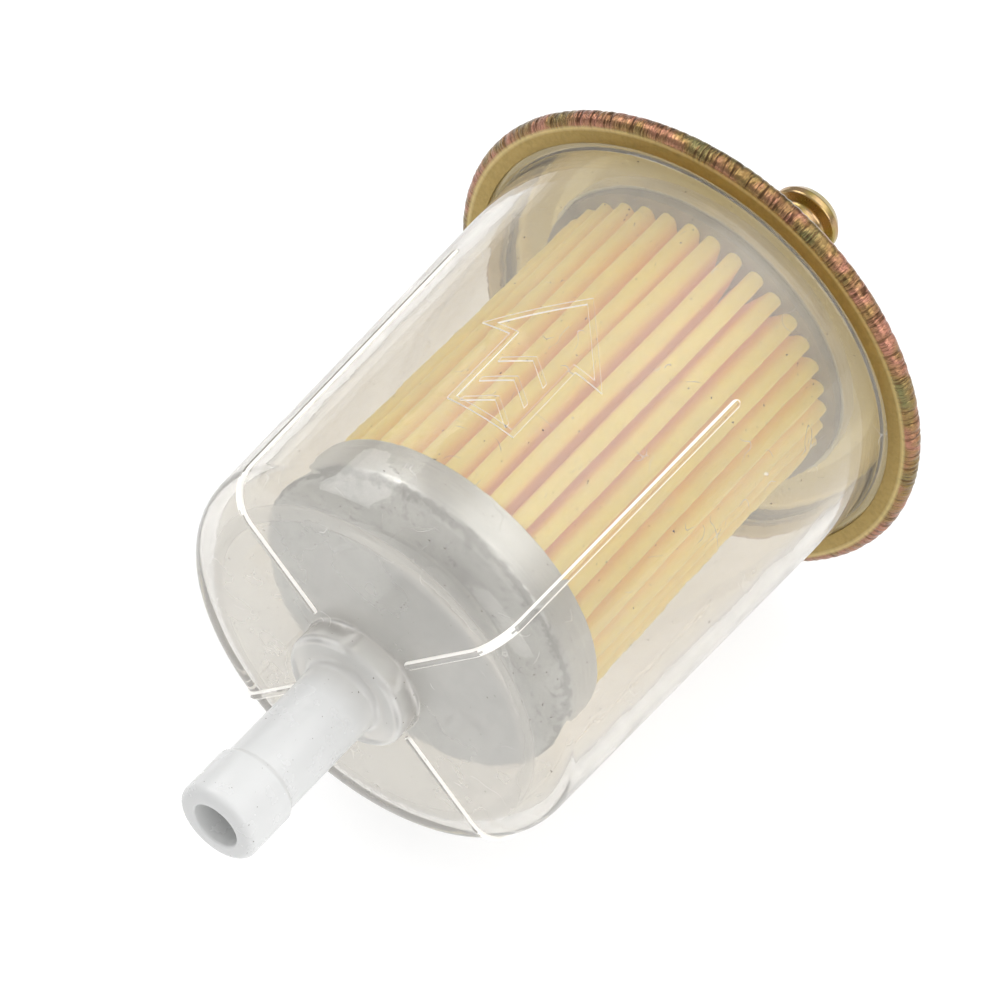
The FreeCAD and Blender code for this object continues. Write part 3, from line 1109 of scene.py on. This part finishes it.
@dataclass
class EndCaps:
    """The two pressed caps of the filter element, in millimetres."""

    face_x: float = 27.1
    skirt_x: float = 32.1
    radius: float = 17.75
    sheet: float = 0.4
    step: float = 0.5
    step_radius: float = 10.5
    upper_top: float = 75.85
    upper_skirt: float = 73.85
    upper_radius: float = 18.6
    upper_hole: float = 5.2
    around: int = 160

    def lower(self) -> Piece:
        """Models the closed cap with its stepped face.

        Returns:
            The lower cap.
        """
        inside = self.face_x + self.sheet
        corners = [
            (self.face_x - self.step, 0, 0),
            (self.face_x - self.step, self.step_radius - self.step, 0.35),
            (self.face_x, self.step_radius, 0.35),
            (self.face_x, self.radius, 1.2),
            (self.skirt_x, self.radius, 0.12),
            (self.skirt_x, self.radius - self.sheet, 0.12),
            (inside, self.radius - self.sheet, 0.8),
            (inside, self.step_radius - self.sheet / 2, 0.2),
            (inside - self.step, self.step_radius - self.step - self.sheet / 2, 0.2),
            (inside - self.step, 0, 0),
        ]
        return turned("lower_cap", corners, self.around)

    def upper(self) -> Piece:
        """Models the cap with the outlet hole.

        Returns:
            The upper cap.
        """
        inner = self.upper_radius - self.sheet
        corners = [
            (self.upper_skirt, inner, 0.1),
            (self.upper_top - self.sheet, inner, 0.2),
            (self.upper_top - self.sheet, self.upper_hole, 0.1),
            (self.upper_top, self.upper_hole, 0.1),
            (self.upper_top, self.upper_radius, 0.4),
            (self.upper_skirt, self.upper_radius, 0.1),
        ]
        return turned("upper_cap", corners, self.around)

    def build(self, finish: BrushedMetal, aged: BrushedMetal) -> list[Piece]:
        """Builds both caps and dresses them.

        Args:
            finish: The lower cap's metal.
            aged: The upper cap's duller metal, with a painted glow.

        Returns:
            The two caps.
        """
        made = []
        caps = ((self.lower(), "lower_end_cap", finish), (self.upper(), "upper_end_cap", aged))
        for cap, node, metal in caps:
            coat(cap, metal.make(f"{node}_metal"))
            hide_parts(node)
            made.append(cap)
        return made


@dataclass
class PleatedPaper:
    """The star-folded paper, every fold a little different, in millimetres."""

    start_x: float = 30.1
    end_x: float = 72.85
    outer: float = 17.2
    inner: float = 8.3
    thickness: float = 0.4
    tip_round: float = 0.9
    count: int = 38
    tip_steps: int = 6
    wall_steps: int = 4
    stations: int = 26
    lean: float = 0.007
    seed: int = 5

    def section(self, inset: float) -> list[Point]:
        """One skin of the folded section.

        Args:
            inset: How far the skin lies inside the outer one.

        Returns:
            Its (y, z) points, fold by fold, tip first.
        """
        points: list[Point] = []
        tip_centre = self.outer - self.tip_round
        valley = self.inner + self.thickness
        for k in range(self.count):
            middle = math.pi + 2 * math.pi * k / self.count
            next_valley = middle + math.pi / self.count
            tip = self.tip_round - inset
            for i in range(self.tip_steps + 1):
                swing = -math.pi / 2 + math.pi * i / self.tip_steps
                points.append(swung(tip_centre + tip * math.cos(swing), tip * math.sin(swing), middle))
            low = valley - inset
            ahead = (low * math.sin(next_valley), low * math.cos(next_valley))
            target = swung(tip_centre, -tip, middle + 2 * math.pi / self.count)
            points += between(points[-1], ahead, self.wall_steps)
            points.append(ahead)
            points += between(ahead, target, self.wall_steps)
        return points

    def settle(self, paper: Piece) -> None:
        """Makes each fold lean, swell and wave by its own small amount, still inside its design radius.

        Args:
            paper: The folded paper.
        """
        rng = random.Random(self.seed)
        folds = [
            (rng.gauss(0, self.lean), rng.gauss(0, self.lean), rng.uniform(0, 6.3), rng.uniform(0, 0.35))
            for _ in range(self.count)
        ]
        length = self.end_x - self.start_x
        for vertex in paper.data.vertices:
            x, y, z = vertex.co / MM
            r = math.hypot(y, z)
            turn = (math.atan2(y, z) - math.pi) % (2 * math.pi)
            fold = int(turn / (2 * math.pi) * self.count + 0.5) % self.count
            lean, wave, phase, short = folds[fold]
            depth = (r - self.inner) / (self.outer - self.inner)
            along = (x - self.start_x) / length
            ends = math.sin(math.pi * min(1, max(0, along)))
            ripple = wave * 0.6 * math.sin(phase + 5 * along) * ends
            swing = (lean * (0.4 + 0.6 * ends) + ripple) * max(0, depth)
            shrink = 1 - short * max(0, depth) * (0.35 + 0.65 * ends) / max(r, 1)
            angle = math.atan2(y, z) + swing
            vertex.co.y = math.sin(angle) * r * shrink * MM
            vertex.co.z = math.cos(angle) * r * shrink * MM

    def build(self, finish: FilterPaper) -> Piece:
        """Builds the paper and dresses it.

        Args:
            finish: The paper.

        Returns:
            The folded paper.
        """
        skins = []
        for name, inset in (("paper_outside", 0.0), ("paper_inside", self.thickness)):
            points = self.section(inset)
            deselect()
            bpy.ops.mesh.primitive_circle_add(vertices=len(points), radius=self.outer * MM)
            skin = bpy.context.object
            skin.name = name
            for vertex, (y, z) in zip(skin.data.vertices, points):
                vertex.co = (self.start_x * MM, y * MM, z * MM)
            skins.append(skin)
        paper = join(skins, "folded_paper")
        bpy.ops.object.mode_set(mode="EDIT")
        bpy.ops.mesh.select_all(action="SELECT")
        bpy.ops.mesh.bridge_edge_loops()
        step = (self.end_x - self.start_x) / self.stations * MM
        bpy.ops.mesh.select_all(action="SELECT")
        for _ in range(self.stations):
            bpy.ops.mesh.extrude_region_move(TRANSFORM_OT_translate={"value": (step, 0, 0)})
        face_outwards(False)
        deselect()
        self.settle(paper)
        finish_piece(paper, 60)
        coat(paper, finish.make())
        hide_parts("pleated_paper")
        return paper


# --- the studio ---


@dataclass
class Studio:
    """A pale floor, soft light and the camera, in metres."""

    centre_x: float = 0.0474
    eye: Place = (-0.16231, -0.14475, 0.29247)
    ahead: Place = (0.53431, 0.38003, -0.75505)
    right: Place = (0.59142, -0.80626, 0.01271)
    lens: float = 140.3
    sensor: float = 36
    near: float = 0.01
    far: float = 20
    bounces: int = 24
    floor_size: float = 4.0
    floor_dark: Colour = (0.3, 0.3, 0.3, 1)
    floor_light: Colour = (0.33, 0.33, 0.33, 1)
    wall_light: float = 0.45
    sky_light: float = 0.7
    glow_from: Place = (0.534, -0.385, 0.753)
    glow_tight: float = 9
    glow_light: float = 2.0
    table_light: float = 0.75
    key_at: Place = (0.1, 0.75, 0.9)
    key_size: tuple[float, float] = (0.9, 0.6)
    key_power: float = 5
    fill_at: Place = (-0.2, -0.9, 0.6)
    fill_size: tuple[float, float] = (0.8, 0.8)
    fill_power: float = 4

    def floor(self) -> None:
        """Lays the floor that the rim rests on."""
        deselect()
        low = CAD_BOX[0].z
        bpy.ops.mesh.primitive_plane_add(size=self.floor_size, location=(self.centre_x, 0, low))
        floor = bpy.context.object
        floor.name = "floor"
        activate(floor)
        bpy.ops.object.transform_apply(location=True, rotation=True, scale=True)
        n = Nodes("pale_floor")
        cloud = n.noise(3, 2)
        coat(floor, n.dress(n.mix(n.span(cloud, 0.3, 0.7), self.floor_dark, self.floor_light)))
        n.set(Roughness=0.8, Emission_Color=(1, 1, 1, 1), Emission_Strength=self.table_light)

    def light(self, name: str, at: Vector, size: tuple[float, float], power: float) -> None:
        """Hangs one soft box that faces the filter.

        Args:
            name: The light's name.
            at: Its place.
            size: Its width and height.
            power: Its power in watts.
        """
        lamp = bpy.data.lights.new(name, "AREA")
        lamp.shape = "RECTANGLE"
        lamp.size, lamp.size_y = size
        lamp.energy = power
        holder = bpy.data.objects.new(name, lamp)
        holder.location = at
        holder.rotation_euler = (Vector((self.centre_x, 0, 0)) - at).to_track_quat("-Z", "Y").to_euler()
        bpy.context.scene.collection.objects.link(holder)

    def lights(self) -> None:
        """Sets the soft boxes and the room's own light."""
        self.light("key", Vector(self.key_at), self.key_size, self.key_power)
        self.light("fill", Vector(self.fill_at), self.fill_size, self.fill_power)
        world = bpy.data.worlds.new("room")
        world.use_nodes = True
        tree = world.node_tree
        sky = tree.nodes["Background"]
        sky.inputs["Color"].default_value = (1, 1, 1, 1)
        way = tree.nodes.new("ShaderNodeTexCoord").outputs["Generated"]
        height = tree.nodes.new("ShaderNodeSeparateXYZ")
        fade = tree.nodes.new("ShaderNodeMapRange")
        fade.inputs["To Min"].default_value = self.wall_light
        fade.inputs["To Max"].default_value = self.sky_light
        tree.links.new(way, height.inputs[0])
        tree.links.new(height.outputs["Z"], fade.inputs["Value"])
        facing = tree.nodes.new("ShaderNodeVectorMath")
        facing.operation = "DOT_PRODUCT"
        facing.inputs[1].default_value = self.glow_from
        tree.links.new(way, facing.inputs[0])
        total = facing.outputs["Value"]
        for kind, number in (("MAXIMUM", 0), ("POWER", self.glow_tight), ("MULTIPLY", self.glow_light)):
            step = tree.nodes.new("ShaderNodeMath")
            step.operation = kind
            tree.links.new(total, step.inputs[0])
            step.inputs[1].default_value = number
            total = step.outputs[0]
        add = tree.nodes.new("ShaderNodeMath")
        tree.links.new(total, add.inputs[0])
        tree.links.new(fade.outputs[0], add.inputs[1])
        tree.links.new(add.outputs[0], sky.inputs["Strength"])
        bpy.context.scene.world = world

    def camera(self) -> None:
        """Sets the camera."""
        lens = bpy.data.cameras.new("camera")
        lens.lens, lens.sensor_width = self.lens, self.sensor
        lens.clip_start, lens.clip_end = self.near, self.far
        ahead = Vector(self.ahead).normalized()
        right = Vector(self.right)
        right = (right - ahead * right.dot(ahead)).normalized()
        up = right.cross(ahead)
        turn = Matrix((right, up, -ahead)).transposed()
        holder = bpy.data.objects.new("camera", lens)
        holder.matrix_world = Matrix.Translation(self.eye) @ turn.to_4x4()
        bpy.context.scene.collection.objects.link(holder)
        bpy.context.scene.camera = holder

    def build(self) -> None:
        """Sets up the whole studio."""
        self.floor()
        self.lights()
        self.camera()
        bpy.context.scene.view_settings.view_transform = "Standard"
        bpy.context.scene.cycles.max_bounces = self.bounces
        bpy.context.scene.cycles.transmission_bounces = self.bounces


# --- putting it together ---

TUBE_PLATE = ZincPlate(
    gold=(0.42, 0.32, 0.11, 1), pink=(0.46, 0.3, 0.17, 1), olive=(0.17, 0.14, 0.045, 1)
)
# The upper cap's metal has a painted glow of its own.
AGED_METAL = BrushedMetal(light=(0.68, 0.63, 0.44, 1), dark=(0.5, 0.46, 0.31, 1), glow=0.14)
RUBBER = Moulded(light=(0.34, 0.29, 0.14, 1), dark=(0.24, 0.2, 0.09, 1), rough=0.55, relief=0.00002)
POTTING = Moulded(light=(0.42, 0.39, 0.3, 1), dark=(0.28, 0.26, 0.2, 1), rough=0.45, relief=0.0001)


def dress_hidden() -> None:
    """Gives the carried-over nodes their finishes."""
    finishes = {
        "cover_gasket": RUBBER.make("gasket_rubber"),
        "element_seal": RUBBER.make("seal_rubber"),
        "lower_adhesive": POTTING.make("lower_potting"),
        "upper_adhesive": POTTING.make("upper_potting"),
        "core_tube": BrushedMetal().make("core_metal"),
        "pleat_seam_clip": BrushedMetal().make("clip_metal"),
        "braze_ring": ZincPlate().make("plated_braze", False),
    }
    for node, material in finishes.items():
        coat(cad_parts[node], material)
        LOG.info("dressed %s", node)


def main() -> None:
    """Builds every piece in order and reports it."""
    logging.basicConfig(level=logging.INFO, format="%(message)s")
    pieces = [
        Bowl().build(ClearPlastic()),
        Cover().build(ZincPlate()),
        OutletTube().build(TUBE_PLATE),
        *EndCaps().build(BrushedMetal(), AGED_METAL),
        PleatedPaper().build(FilterPaper()),
    ]
    for piece in pieces:
        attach(piece, "root")
        LOG.info("built %s with %d faces", piece.name, len(piece.data.polygons))
    dress_hidden()
    Studio().build()


if __name__ == "__main__":
    main()
